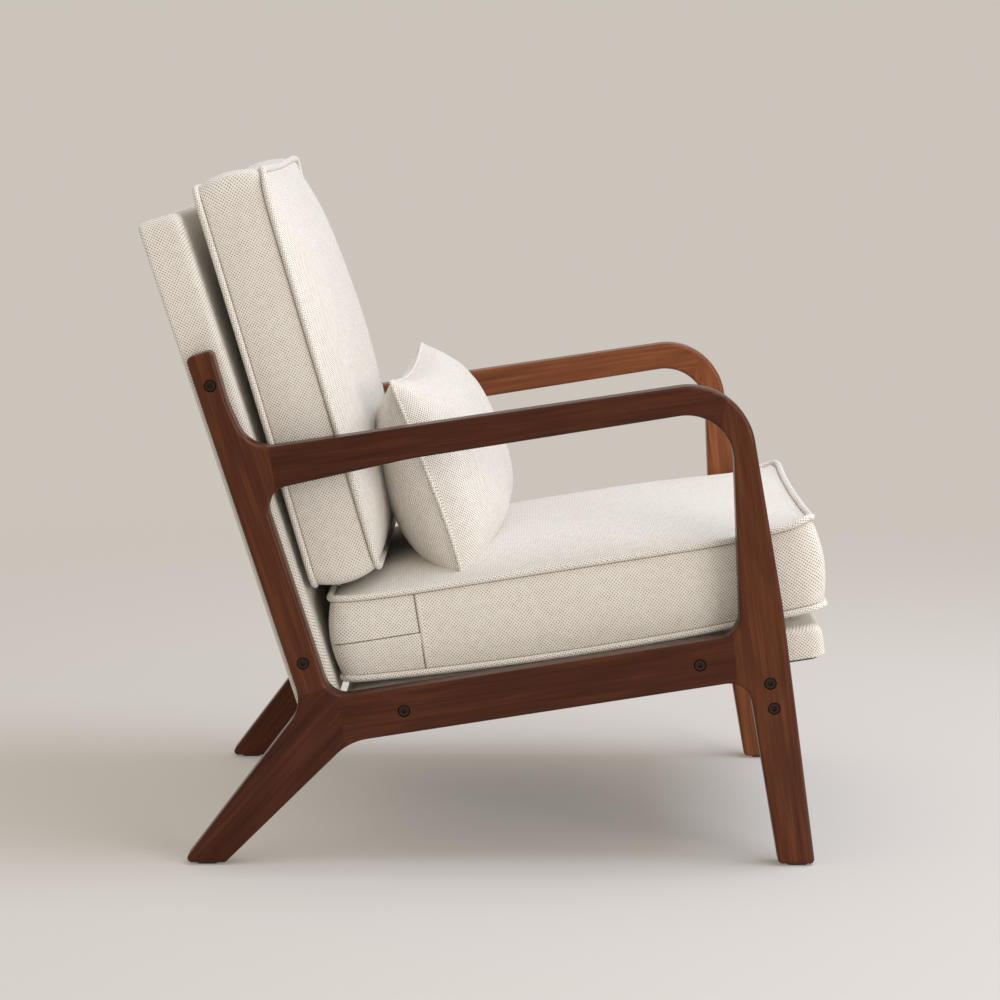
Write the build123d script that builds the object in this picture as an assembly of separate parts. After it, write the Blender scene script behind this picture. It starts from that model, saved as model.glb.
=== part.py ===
from build123d import *
import math
import os

# An accent chair: two solid wood side frames with an upholstered back panel, an upholstered
# seat deck and a stretcher bolted between them, two loose boxed cushions and a lumbar pillow.
# Lengths are in millimetres and angles in degrees. The chair faces -Y and +X is the sitter's
# left. Profile points are (forward, up): forward of the heel of the rear foot, up from the floor.

# Side frames
overall_width = 670.0
frame_thickness = 38.0
edge_round = 5.0
toe_round = 5.5
foot_front_round = 14.0
glide_thickness = 2.5

rear_foot_length = 51.7
leg_top_angle = 52.8
leg_under_angle = 44.6
hip_height = 197.5
hip_round = 45.0
leg_root_round = 70.0

back_lean = 17.85
upright_length = 447.0
upright_width = 36.5
upright_top_width = 33.0
upright_waist_width = 30.5
waist_drop = 70.0
waist_angle = -65.0
upright_top_round = 7.0
waist_round = 150.0

arm_nose_forward = 685.8
arm_nose_height = 600.5
arm_top_slope = 8.4
arm_root_round = 40.0
arm_nose_round = 80.0
arm_crook_setback = 14.7
arm_crook_drop = 36.5
arm_under_slope = 9.1
arm_crook_round = 57.0
arm_under_length = 393.9
arm_heel_slope = 12.7
arm_heel_round = 250.0

post_front_upper_lean = 10.0
post_front_lower_lean = 7.77
post_back_upper_lean = 2.5
post_back_lower_lean = 9.84
post_bend_round = 600.0
front_foot_step = 48.0
front_foot_length = 45.0
window_round = 28.0

rail_slope = 8.98
rail_height = 56.5

# Glued joints of a side frame: where each cut crosses the wood and which way it runs
arm_joint = (115.4, 496.0)
nose_joint_setback = 24.2
nose_joint_drop = 39.8
nose_joint_angle = 78.7
post_joint_setback = 8.1
post_joint_height = 257.3
post_joint_lean = 5.4
rail_joint = (198.2, 181.0)
hip_joint = (164.2, 216.0)
cut_reach = 78.0
dowel_radius = 5.0
dowel_length = 40.0
nose_dowel_radius = 4.0
nose_dowel_length = 24.0
dowel_spacing = 18.0
dowel_clearance = 0.05
dowel_end_space = 1.0

# Bolts through the side frames
rear_deck_bolt = (274.6, 192.9)
deck_bolt_spacing = 364.7
lower_panel_bolt_up = 50.7
panel_bolt_spacing = 356.0
stretcher_step = 37.2
stretcher_up = 212.0
stretcher_bolt_spacing = 31.4
bolt_radius = 4.0
bolt_hole_clearance = 0.3
bolt_head_radius = 6.5
bolt_head_height = 8.0
hex_radius = 3.4
hex_depth = 4.0
counterbore_radius = 7.65
head_recess = 1.0
washer_radius = 7.5
washer_thickness = 1.6
panel_bolt_length = 50.0
stretcher_bolt_length = 70.0
thread_clearance = 0.05
insert_radius = 6.0
insert_length = 18.0
bolt_end_space = 3.0
barrel_nut_radius = 6.0
barrel_nut_length = 20.0
barrel_nut_inset = 30.0

# Front stretcher
stretcher_lean = 9.2
stretcher_thickness = 26.0
stretcher_height = 60.0

# Seat deck, measured along and square to the rails from the rear deck bolt
deck_back = -68.0
deck_front = 510.5
deck_low = -20.5
deck_side_high = 22.0
deck_crown = 12.0
deck_corner = 12.0
deck_wood_low = -19.5
deck_wood_high = 12.0
deck_board = 22.0
corner_block_leg = 55.0
fabric = 1.6
fabric_clearance = 0.2
dust_cover_thickness = 0.8
spring_wire = 3.5
spring_count = 4
spring_swing = 46.0
spring_turns = 10
spring_side_space = 92.0
spring_clearance = 0.15
clip_wall = 1.2
clip_width = 20.0
pad_gap = 0.4

# Back panel, measured from the centreline of the uprights: through it and up from the hip
panel_rear = -28.0
panel_front = 18.0
panel_low = 7.0
panel_high = 617.0
panel_crown = 8.0
panel_corner = 12.0
panel_wood_rear = -22.0
panel_wood_front = 8.0
stile_width = 40.0
panel_rail_height = 42.0
webbing_count = 6
webbing_width = 50.0
webbing_thickness = 1.5
backing_thickness = 3.0

# Loose cushions
cushion_side_gap = 5.0
welt_radius = 3.0
welt_offset = 1.1
core_clearance = 0.4
soft_gap = 0.7
cushion_corner = 24.0
cushion_draw = 5.0
side_bulge = 3.0
seat_cushion_back = -74.0
seat_cushion_length = 601.0
seat_cushion_thickness = 103.0
seat_crown = 32.0
back_cushion_lean = 16.2
back_cushion_rear = 38.1
back_cushion_up = 128.0
back_cushion_height = 511.0
back_cushion_thickness = 80.0
back_front_crown = 44.0
back_rear_crown = 15.7
back_end_bulge = 12.0

pillow_lean = 19.0
pillow_forward = 211.0
pillow_up = 228.0
pillow_end_space = 47.0
pillow_height = 257.0
pillow_draw = 22.0
pillow_end_draw = 14.0
pillow_front_crown = 86.0
pillow_rear_crown = 41.8
pillow_edge_thickness = 3.0
pillow_corner = 9.0
pillow_cord_radius = 2.0

# Zips
zip_end_space = 52.0
zip_height = 4.8
zip_thickness = 2.2
zip_proud = 0.8
zip_clearance = 0.1
slider_length = 9.0
slider_height = 8.0
slider_thickness = 2.6
slider_clearance = 0.3
pull_length = 16.0
pull_width = 5.0
pull_thickness = 1.2
back_zip_share = 0.6

# How a crowned face rises: shares of the inset to its middle, and shares of the crown there.
# Its rings round off inwards by a share of their inset.
dome_inset_shares = (0.09, 0.24, 0.48, 0.72)
dome_rise_shares = (0.38, 0.68, 0.92, 1.0)
dome_round_share = 0.03
dome_corner_share = 0.12
pillow_rise_shares = (0.24, 0.56, 0.88, 1.0)
straight = (0.0, 0.0, 0.0)

cushion_draws = (0.0, cushion_draw, cushion_draw)
right_outer = -overall_width / 2
right_inner = right_outer + frame_thickness
overrun = frame_thickness / 4
cushion_half_width = -right_inner - cushion_side_gap
pillow_half_width = cushion_half_width - pillow_end_space
zip_half_length = cushion_half_width - zip_end_space
front_foot_start = arm_nose_forward + front_foot_step


def ray(point, angle, distance):
    """The point a distance away from another, at an angle above forward."""
    turn = math.radians(angle)
    return (point[0] + distance * math.cos(turn), point[1] + distance * math.sin(turn))


def crossing(point_a, angle_a, point_b, angle_b):
    """Where the line through one point crosses the line through another."""
    turn_a, turn_b = math.radians(angle_a), math.radians(angle_b)
    gap_x, gap_y = point_b[0] - point_a[0], point_b[1] - point_a[1]
    travel = (gap_x * math.sin(turn_b) - gap_y * math.cos(turn_b)) / math.sin(turn_b - turn_a)
    return ray(point_a, angle_a, travel)


def profile_plane(x):
    """Side view plane at x: local x is forward, local y is up, and it extrudes to -X."""
    return Plane(origin=(x, 0, 0), x_dir=(0, -1, 0), z_dir=(-1, 0, 0))


def face_plane(point, slope, up=0.0):
    """Plane lying in a face that rises forward by slope: local x is -X, y forward, z out of it."""
    turn = math.radians(slope)
    origin = ray(point, slope + 90, up)
    return Plane(
        origin=(0, -origin[0], origin[1]),
        x_dir=(-1, 0, 0),
        z_dir=(0, math.sin(turn), math.cos(turn)),
    )


def lean_plane(point, lean, forward=0.0):
    """Plane leaning back by lean: local x is +X, y up the lean, z forward."""
    turn = math.radians(lean)
    origin = ray(point, lean, forward)
    return Plane(
        origin=(0, -origin[0], origin[1]),
        x_dir=(1, 0, 0),
        z_dir=(0, -math.cos(turn), math.sin(turn)),
    )


def block(plane, x, y, z):
    """A box in a plane's own axes, from its low and high places along each."""
    size = [high - low for low, high in (x, y, z)]
    middle = [(low + high) / 2 for low, high in (x, y, z)]
    return plane * Pos(*middle) * Box(*size)


def rod(point, x_start, x_end, radius):
    """A round bar along X, centred on a profile point."""
    plane = Plane(origin=(min(x_start, x_end), -point[0], point[1]), z_dir=(1, 0, 0))
    return plane * extrude(Circle(radius), abs(x_end - x_start))


def both_sides(thing):
    """A thing on the right side and its mirror image on the left."""
    return [thing, mirror(thing, about=Plane.YZ)]


def solids_of(things):
    """One node that holds many separate solids."""
    return Compound(children=[solid for thing in things for solid in thing.solids()])


# Points of the side frame that other parts are placed from
heel = (0.0, 0.0)
hip = crossing((0.0, hip_height), 0, heel, leg_top_angle)
upright_top = ray(hip, 90 + back_lean, upright_length)
upright_centre = ray(hip, back_lean, upright_width / 2)
arm_nose = (arm_nose_forward, arm_nose_height)
arm_crook = (arm_nose_forward - arm_crook_setback, arm_nose_height - arm_crook_drop)
nose_joint = (arm_nose_forward - nose_joint_setback, arm_nose_height - nose_joint_drop)
post_joint = (arm_nose_forward - post_joint_setback, post_joint_height)
stretcher_centre = (arm_nose_forward + stretcher_step, stretcher_up)
front_deck_bolt = ray(rear_deck_bolt, rail_slope, deck_bolt_spacing)
lower_panel_bolt = ray(upright_centre, 90 + back_lean, lower_panel_bolt_up)
upper_panel_bolt = ray(lower_panel_bolt, 90 + back_lean, panel_bolt_spacing)
stretcher_bolts = [
    ray(stretcher_centre, 90 + stretcher_lean, side * stretcher_bolt_spacing / 2) for side in (-1, 1)
]
panel_bolts = [lower_panel_bolt, upper_panel_bolt]
deck_bolts = [rear_deck_bolt, front_deck_bolt]


def frame_outline():
    """The outside corners of a side frame and the round on each."""
    floor = (0.0, glide_thickness)
    leg_front = (rear_foot_length, 0.0)
    post_back = (front_foot_start, 0.0)
    post_front = (front_foot_start + front_foot_length, 0.0)
    rail_under = ray(rear_deck_bolt, rail_slope - 90, rail_height / 2)
    top_front = ray(upright_top, back_lean, upright_top_width)
    waist_back = ray(upright_top, back_lean - 90, waist_drop)
    waist = ray(waist_back, back_lean, upright_waist_width)
    corners = [
        (crossing(floor, 0, heel, leg_top_angle), toe_round),
        (hip, hip_round),
        (upright_top, upright_top_round),
        (top_front, upright_top_round),
        (waist, waist_round),
        (crossing(waist, waist_angle, arm_nose, arm_top_slope), arm_root_round),
        (arm_nose, arm_nose_round),
        (
            crossing(arm_nose, 90 + post_front_upper_lean, post_front, 90 + post_front_lower_lean),
            post_bend_round,
        ),
        (crossing(floor, 0, post_front, 90 + post_front_lower_lean), toe_round),
        (crossing(floor, 0, post_back, 90 + post_back_lower_lean), toe_round),
        (crossing(post_back, 90 + post_back_lower_lean, rail_under, rail_slope), window_round),
        (crossing(rail_under, rail_slope, leg_front, leg_under_angle), leg_root_round),
        (crossing(floor, 0, leg_front, leg_under_angle), toe_round),
    ]
    return corners


def window_outline():
    """The corners of the opening under the arm and the round in each."""
    rail_top = ray(rear_deck_bolt, rail_slope + 90, rail_height / 2)
    upright_front = ray(hip, back_lean, upright_width)
    arm_heel = ray(arm_crook, arm_under_slope, -arm_under_length)
    return [
        (crossing(upright_front, 90 + back_lean, rail_top, rail_slope), window_round),
        (crossing(upright_front, 90 + back_lean, arm_heel, arm_heel_slope), window_round),
        (arm_heel, arm_heel_round),
        (arm_crook, arm_crook_round),
        (crossing(arm_crook, 90 + post_back_upper_lean, rail_top, rail_slope), window_round),
    ]


def rounded_face(corners):
    """A closed face through corners, each with its own round."""
    points = [corner for corner, radius in corners]
    radii = [radius for corner, radius in corners]
    return make_face(FilletPolyline(*points, radius=radii, close=True).edges())


def front_edge_cutter():
    """Takes the front outer edge of the post to a round that grows towards the foot."""
    sections = []
    foot = (front_foot_start + front_foot_length, 0.0)
    top = crossing(arm_nose, 90 + post_front_upper_lean, foot, 90 + post_front_lower_lean)
    for corner, radius in ((top, edge_round), (foot, foot_front_round)):
        turn = math.radians(post_front_lower_lean)
        plane = Plane(
            origin=(right_outer, -corner[0], corner[1]),
            x_dir=(1, 0, 0),
            z_dir=(0, math.sin(turn), math.cos(turn)),
        )
        # Local x is into the wood from the outer face and local y is back from the front edge.
        outside = [
            (0, radius),
            (-overrun, radius),
            (-overrun, -overrun),
            (radius, -overrun),
            (radius, 0),
        ]
        middle = radius * (1 - math.sqrt(0.5))
        edges = Polyline(*outside).edges() + ThreePointArc((radius, 0), (middle, middle), (0, radius)).edges()
        sections.append(plane * make_face(edges))
    return loft(sections, ruled=True)


def bolt_holes(points):
    """Clearance holes and counterbores for bolts through the right side frame."""
    seat_depth = head_recess + bolt_head_height + washer_thickness
    cuts = []
    for point in points:
        cuts.append(rod(point, right_outer - overrun, right_inner + overrun, bolt_radius + bolt_hole_clearance))
        cuts.append(rod(point, right_outer - overrun, right_outer + seat_depth, counterbore_radius))
    return cuts


def dowels(point, angle, radius, length, clearance=0.0):
    """A pair of dowels side by side across a glued joint of the right side frame."""
    turn = math.radians(angle)
    direction = Vector(0, -math.cos(turn), math.sin(turn))
    pair = []
    for side in (-1, 1):
        x = right_outer + frame_thickness / 2 + side * dowel_spacing / 2
        start = Vector(x, -point[0], point[1]) - direction * (length / 2 + clearance)
        plane = Plane(origin=start, z_dir=direction)
        pair.append(plane * extrude(Circle(radius), length + 2 * clearance))
    return pair


def frame_dowels(clearance=0.0, end_space=0.0):
    """All dowels of the right side frame, or the larger holes that take them."""
    joints = [
        (arm_joint, arm_top_slope, dowel_radius, dowel_length),
        (nose_joint, nose_joint_angle - 90, nose_dowel_radius, nose_dowel_length),
        (post_joint, post_joint_lean, dowel_radius, dowel_length),
        (rail_joint, rail_slope, dowel_radius, dowel_length),
        (hip_joint, back_lean + 90, dowel_radius, dowel_length),
    ]
    found = []
    for point, angle, radius, length in joints:
        found += dowels(point, angle, radius + clearance, length + 2 * end_space)
    return found


def side_frame_members():
    """The five members of the right side frame, cut from one profile at their glued joints."""
    body = profile_plane(right_inner) * extrude(
        rounded_face(frame_outline()) - rounded_face(window_outline()), frame_thickness
    )
    long_edges = [
        edge
        for edge in body.edges()
        if abs(edge.center().X - right_outer) < overrun / 10 or abs(edge.center().X - right_inner) < overrun / 10
    ]
    body = fillet(long_edges, edge_round)
    body -= front_edge_cutter()
    body -= bolt_holes(panel_bolts + deck_bolts + stretcher_bolts)
    body -= frame_dowels(dowel_clearance, dowel_end_space)
    body -= glides(dowel_clearance)

    arm_in = ray(arm_joint, arm_top_slope - 90, cut_reach)
    arm_out = ray(arm_joint, arm_top_slope + 90, cut_reach)
    nose_in = ray(nose_joint, nose_joint_angle + 180, cut_reach)
    nose_out = ray(nose_joint, nose_joint_angle, cut_reach)
    post_in = ray(post_joint, 90 + post_joint_lean, cut_reach)
    post_out = ray(post_joint, post_joint_lean - 90, cut_reach)
    rail_in = crossing(rail_joint, 90 + rail_slope, hip_joint, back_lean)
    rail_out = ray(rail_joint, rail_slope - 90, cut_reach)
    hip_out = ray(hip_joint, back_lean + 180, cut_reach)
    past_heel = -2 * cut_reach
    past_toe = arm_nose_forward + 2 * cut_reach
    above = upright_top[1] + cut_reach
    regions = {
        "armrest": [arm_in, nose_in, nose_out, arm_out],
        "front_post": [
            nose_in,
            post_in,
            post_out,
            (post_out[0], past_heel),
            (past_toe, past_heel),
            (past_toe, above),
            nose_out,
        ],
        "side_rail": [post_in, ray(rail_in, 90, cut_reach / 2), rail_in, rail_out, post_out],
        "rear_leg": [rail_in, hip_out, (past_heel, hip_joint[1] - cut_reach), (past_heel, past_heel), rail_out],
        "rear_upright": [
            rail_in,
            arm_in,
            arm_out,
            (arm_out[0], above),
            (past_heel, above),
            (past_heel, hip_joint[1] - cut_reach),
            hip_out,
        ],
    }
    start = right_inner + overrun
    members = {}
    for name, corners in regions.items():
        outline = make_face(Polyline(*corners, close=True).edges())
        members[name] = body & (profile_plane(start) * extrude(outline, frame_thickness + 2 * overrun))
    return members


def glides(clearance=0.0):
    """Nail-on glides under the feet of the right side, or the holes that take their nails."""
    foot_centres = [
        rear_foot_length / 2 + toe_round,
        front_foot_start + front_foot_length / 2,
    ]
    pads = []
    pad_length, pad_width = 0.55 * front_foot_length, 0.6 * frame_thickness
    nail_radius, nail_length = frame_thickness / 20, frame_thickness / 3
    middle = right_outer + frame_thickness / 2
    for forward in foot_centres:
        nail = Pos(middle, -forward, glide_thickness) * extrude(Circle(nail_radius + clearance), nail_length)
        if clearance:
            pads.append(nail)
            continue
        pad = extrude(RectangleRounded(pad_width, pad_length, pad_width / 4), glide_thickness)
        pads.append(Pos(middle, -forward, 0) * pad + nail)
    return pads


def bolt(point, length):
    """A socket-head bolt in the right side frame."""
    head_top = right_outer + head_recess
    head_base = head_top + bolt_head_height
    body = rod(point, head_top, head_base, bolt_head_radius)
    body += rod(point, head_base, head_base + length, bolt_radius)
    plane = Plane(origin=(head_top, -point[0], point[1]), x_dir=(0, 0, 1), z_dir=(1, 0, 0))
    return body - plane * extrude(RegularPolygon(hex_radius, 6), hex_depth)


def washer(point):
    """The washer under a bolt's head."""
    start = right_outer + head_recess + bolt_head_height
    ring = rod(point, start, start + washer_thickness, washer_radius)
    return ring - rod(point, start - overrun, start + overrun, bolt_radius + bolt_hole_clearance / 2)


def insert(point):
    """A threaded insert in a wooden piece that starts behind the upholstery fabric."""
    start = right_inner + fabric + fabric_clearance
    ring = rod(point, start, start + insert_length, insert_radius)
    return ring - rod(point, start - overrun, start + insert_length + overrun, bolt_radius + thread_clearance)


def insert_holes(points):
    """Holes for threaded inserts and bolt ends, on both sides."""
    start = right_inner + fabric + fabric_clearance
    bolt_end = right_outer + head_recess + bolt_head_height + panel_bolt_length
    cuts = []
    for point in points:
        cuts += both_sides(rod(point, start - overrun, start + insert_length, insert_radius + thread_clearance))
        cuts += both_sides(rod(point, start, bolt_end + bolt_end_space, bolt_radius + bolt_hole_clearance))
    return cuts


def stretcher_parts():
    """The front stretcher, with its bolt holes, and the barrel nuts inside it."""
    plane = lean_plane(stretcher_centre, stretcher_lean)
    board = block(
        plane,
        (right_inner, -right_inner),
        (-stretcher_height / 2, stretcher_height / 2),
        (-stretcher_thickness / 2, stretcher_thickness / 2),
    )
    bolt_end = right_outer + head_recess + bolt_head_height + stretcher_bolt_length
    nut_x = right_inner + barrel_nut_inset
    nuts = []
    for point, side in zip(stretcher_bolts, (-1, 1)):
        hole = rod(point, right_inner - overrun, bolt_end + bolt_end_space, bolt_radius + bolt_hole_clearance)
        across = plane * Pos(nut_x, side * stretcher_bolt_spacing / 2, 0)
        cross_hole = across * Cylinder(barrel_nut_radius + thread_clearance, stretcher_thickness + overrun)
        nut = across * Cylinder(barrel_nut_radius, barrel_nut_length)
        nut -= rod(point, right_inner, bolt_end + overrun, bolt_radius + thread_clearance)
        nuts += both_sides(nut)
        for cut in both_sides(hole) + both_sides(cross_hole):
            board -= cut
    return board, nuts


def outline(plane, half_width, low, high, corner, draws, up):
    """A cushion's outline at a height above a plane: drawn in at its low, both side and high edges."""
    low_draw, side_draw, high_draw = draws
    middle = (low + high) / 2
    corners = [(-half_width, low), (half_width, low), (half_width, high), (-half_width, high)]
    dips = [
        (0, low + low_draw),
        (half_width - side_draw, middle),
        (0, high - high_draw),
        (side_draw - half_width, middle),
    ]
    edges = []
    for index, draw in enumerate((low_draw, side_draw, high_draw, side_draw)):
        start, end = corners[index], corners[(index + 1) % len(corners)]
        side = ThreePointArc(start, dips[index], end) if draw else Line(start, end)
        edges.append(side.edge())
    face = make_face(edges)
    return plane.offset(up) * fillet(face.vertices(), corner)


def slab(plane, half_width, low, high, corner, bottom, top):
    """A flat board with rounded corners, from one height above a plane to another."""
    return extrude(outline(plane, half_width, low, high, corner, straight, bottom), top - bottom)


def boxed(plane, half_width, low, high, corner, draws, bottom, top, bulges, crowns, rises=dome_rise_shares):
    """A cushion: its edge band from bottom to top, and a crown over the top and the bottom."""
    reach = min(half_width, (high - low) / 2)
    side_bulge, end_bulge = bulges

    def ring(inset, up, side_out=0.0, end_out=0.0):
        share = inset / reach
        rounding = inset * dome_round_share
        return outline(
            plane,
            half_width - inset + side_out,
            low + inset - end_out,
            high - inset + end_out,
            corner + inset * dome_corner_share,
            [draw * (1 - share) - rounding for draw in draws],
            up,
        )

    body = loft([ring(0, bottom), ring(0, (bottom + top) / 2, side_bulge, end_bulge), ring(0, top)])
    for base, crown in ((top, crowns[0]), (bottom, -crowns[1])):
        if crown:
            rings = [ring(0, base)]
            for inset_share, rise_share in zip(dome_inset_shares, rises):
                rings.append(ring(inset_share * reach, base + rise_share * crown))
            body += loft(rings)
    return body


def cord(path, radius):
    """A round cord along a closed path."""
    section = Plane(origin=path @ 0, z_dir=path % 0) * Circle(radius)
    return sweep(section, path=path)


def welt(plane, half_width, low, high, corner, draws, up):
    """A round welt along a seam."""
    path = outline(
        plane,
        half_width + welt_offset,
        low - welt_offset,
        high + welt_offset,
        corner + welt_offset,
        draws,
        up,
    )
    return cord(path.wire(), welt_radius)


def zip_parts(plane, y_out, z_middle, half_length, outward):
    """A zip chain along X in the wall at y_out, its slot, and its slider with a pull tab."""
    inner = y_out - outward * (zip_thickness - zip_proud)
    proud = y_out + outward * zip_proud
    half = zip_height / 2
    wall = sorted((inner, proud))
    chain = block(plane, (-half_length, half_length), wall, (z_middle - half, z_middle + half))
    slot = block(
        plane,
        (-half_length - zip_clearance, half_length + zip_clearance),
        sorted((inner - outward * zip_clearance, proud + outward * zip_clearance)),
        (z_middle - half - zip_clearance, z_middle + half + zip_clearance),
    )
    slider_inner = y_out + outward * slider_clearance
    slider_outer = slider_inner + outward * slider_thickness
    half_slider = slider_height / 2
    parked = half_length - slider_length - slider_clearance
    slider = block(
        plane,
        (parked, parked + slider_length),
        sorted((slider_inner, slider_outer)),
        (z_middle - half_slider, z_middle + half_slider),
    )
    slider -= block(
        plane,
        (parked - overrun, parked + slider_length + overrun),
        sorted((y_out - outward * overrun, proud + outward * slider_clearance)),
        (z_middle - half - slider_clearance, z_middle + half + slider_clearance),
    )
    pull = block(
        plane,
        (parked + slider_length / 2 - pull_width / 2, parked + slider_length / 2 + pull_width / 2),
        sorted((slider_outer - outward * pull_thickness, slider_outer)),
        (z_middle - half_slider - pull_length, z_middle - half_slider),
    )
    return chain, slot, slider + pull


def seat_deck():
    """The upholstered seat deck that is bolted between the side rails."""
    plane = face_plane(rear_deck_bolt, rail_slope)
    half = -right_inner
    wood_half = half - fabric - fabric_clearance
    wood_back = deck_back + fabric + fabric_clearance
    wood_front = deck_front - fabric - fabric_clearance
    wood = (deck_wood_low, deck_wood_high)
    holes = insert_holes(deck_bolts)
    parts = {}
    side = block(plane, (wood_half - deck_board, wood_half), (wood_back, wood_front), wood)
    side &= slab(plane, wood_half, wood_back, wood_front, deck_corner, *wood)
    for name, rail in zip(("seat_deck_side_rail_right", "seat_deck_side_rail_left"), both_sides(side)):
        for hole in holes:
            rail -= hole
        parts[name] = rail
    between = (deck_board - wood_half, wood_half - deck_board)
    parts["seat_deck_front_rail"] = block(plane, between, (wood_front - deck_board, wood_front), wood)
    parts["seat_deck_rear_rail"] = block(plane, between, (wood_back, wood_back + deck_board), wood)

    blocks = []
    inner_x = wood_half - deck_board
    for corner_y, sign in ((wood_back + deck_board, 1), (wood_front - deck_board, -1)):
        triangle = Polyline(
            (inner_x, corner_y),
            (inner_x - corner_block_leg, corner_y),
            (inner_x, corner_y + sign * corner_block_leg),
            close=True,
        )
        wedge = plane.offset(deck_wood_low) * extrude(
            make_face(triangle.edges()), deck_wood_high - deck_wood_low
        )
        blocks += both_sides(wedge)
    parts["seat_deck_corner_blocks"] = solids_of(blocks)

    wire = spring_wire / 2
    spring_up = deck_wood_high + clip_wall + spring_clearance + wire
    spring_plane = plane.offset(spring_up)
    first = wood_back + deck_board / 2
    last = wood_front - deck_board / 2
    pitch = (last - first) / (spring_turns - 1)
    springs, clips = [], []
    half_swing = spring_swing / 2
    for index in range(spring_count):
        centre = (index - (spring_count - 1) / 2) * (wood_half * 2 - spring_side_space) / (spring_count - 1)
        points = []
        for row in range(spring_turns):
            y = first + row * pitch
            ends = (-half_swing, half_swing) if row % 2 == 0 else (half_swing, -half_swing)
            points += [(centre + ends[0], y), (centre + ends[1], y)]
        path = spring_plane * FilletPolyline(*points, radius=0.45 * min(pitch, spring_swing))
        section = Plane(origin=path @ 0, z_dir=path % 0) * Circle(wire)
        springs.append(sweep(section, path=path))
        grip = wire + spring_clearance
        for y, lead in ((first, -1), (last, 1 if spring_turns % 2 else -1)):
            end_x = centre + lead * half_swing * 0.35
            clip = block(
                plane,
                (end_x - clip_width / 2, end_x + clip_width / 2),
                (y - grip - clip_wall, y + grip + clip_wall),
                (deck_wood_high, spring_up + grip + clip_wall),
            )
            bore = Plane(origin=(end_x, y, spring_up), x_dir=(0, 1, 0), z_dir=(1, 0, 0))
            clips.append(clip - plane * bore * Cylinder(grip, clip_width + overrun))
    parts["seat_deck_springs"] = solids_of(springs)
    parts["seat_spring_clips"] = solids_of(clips)

    bolt_passages = [rod(point, right_outer, -right_outer, bolt_radius + bolt_hole_clearance) for point in deck_bolts]
    clip_top = spring_up + wire + spring_clearance + clip_wall

    def cap(inset, low):
        return boxed(
            plane,
            half - inset,
            deck_back + inset,
            deck_front - inset,
            deck_corner,
            straight,
            low,
            deck_side_high - inset,
            (0, 0),
            (deck_crown, 0),
        )

    flat = clip_top + pad_gap
    skin = cap(0, deck_low + dust_cover_thickness) - cap(fabric, deck_low - overrun)
    for passage in bolt_passages:
        skin -= passage
    parts["seat_deck_cover"] = skin
    parts["seat_deck_pad"] = cap(fabric + core_clearance, flat)
    parts["seat_dust_cover"] = slab(
        plane, half, deck_back, deck_front, deck_corner, deck_low, deck_low + dust_cover_thickness
    )
    return parts


def back_panel():
    """The upholstered back panel that is bolted between the uprights."""
    plane = lean_plane(upright_centre, back_lean)
    half = -right_inner
    skin = fabric + fabric_clearance
    wood_half = half - skin
    wood = (panel_wood_rear, panel_wood_front)
    low, high = panel_low + skin, panel_high - skin
    holes = insert_holes(panel_bolts)
    stile = block(plane, (wood_half - stile_width, wood_half), (low, high), wood)
    stile &= slab(plane, wood_half, low, high, panel_corner, *wood)
    parts = {}
    for name, piece in zip(("back_panel_stile_left", "back_panel_stile_right"), both_sides(stile)):
        for hole in holes:
            piece -= hole
        parts[name] = piece
    between = (stile_width - wood_half, wood_half - stile_width)
    parts["back_panel_top_rail"] = block(plane, between, (high - panel_rail_height, high), wood)
    parts["back_panel_bottom_rail"] = block(plane, between, (low, low + panel_rail_height), wood)

    straps = []
    clear = high - low - 2 * panel_rail_height
    for index in range(webbing_count):
        up = low + panel_rail_height + clear * (index + 0.5) / webbing_count
        straps.append(
            block(
                plane,
                (-wood_half + stile_width / 4, wood_half - stile_width / 4),
                (up - webbing_width / 2, up + webbing_width / 2),
                (panel_wood_front, panel_wood_front + webbing_thickness),
            )
        )
    parts["back_panel_webbing"] = solids_of(straps)
    parts["back_panel_backing"] = slab(
        plane, wood_half, low, high, panel_corner, panel_wood_rear - backing_thickness, panel_wood_rear
    )

    def wrap(inset, rear):
        return boxed(
            plane,
            half - inset,
            panel_low + inset,
            panel_high - inset,
            panel_corner,
            straight,
            rear,
            panel_front - inset,
            (0, 0),
            (panel_crown, 0),
        )

    cover = wrap(0, panel_rear) - wrap(fabric, panel_rear + fabric)
    for point in panel_bolts:
        cover -= rod(point, right_outer, -right_outer, bolt_radius + bolt_hole_clearance)
    parts["back_panel_cover"] = cover
    parts["back_panel_pad"] = wrap(
        fabric + core_clearance, panel_wood_front + webbing_thickness + fabric_clearance
    )
    return parts


def seat_cushion():
    """The loose seat cushion on the deck, with its zip across the rear boxing."""
    deck_top = deck_side_high + deck_crown
    plane = face_plane(rear_deck_bolt, rail_slope, deck_top + soft_gap)
    low = seat_cushion_back
    high = low + seat_cushion_length

    def body(inset):
        return boxed(
            plane,
            cushion_half_width - inset,
            low + inset,
            high - inset,
            cushion_corner,
            cushion_draws,
            inset,
            seat_cushion_thickness - inset,
            (side_bulge, side_bulge),
            (seat_crown, 0),
        )

    middle = seat_cushion_thickness / 2
    chain, slot, slider = zip_parts(plane, low - side_bulge, middle, zip_half_length, -1)
    cover = body(0) - body(fabric) - slot
    parts = {
        "seat_cushion_cover": cover,
        "seat_cushion_core": body(fabric + core_clearance),
        "seat_cushion_zip": chain,
        "seat_zip_slider": slider,
    }
    for name, up in (("bottom", welt_radius - welt_offset), ("top", seat_cushion_thickness + welt_offset)):
        parts[f"seat_cushion_{name}_welt"] = welt(
            plane, cushion_half_width, low, high, cushion_corner, cushion_draws, up
        )
    return parts


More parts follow.
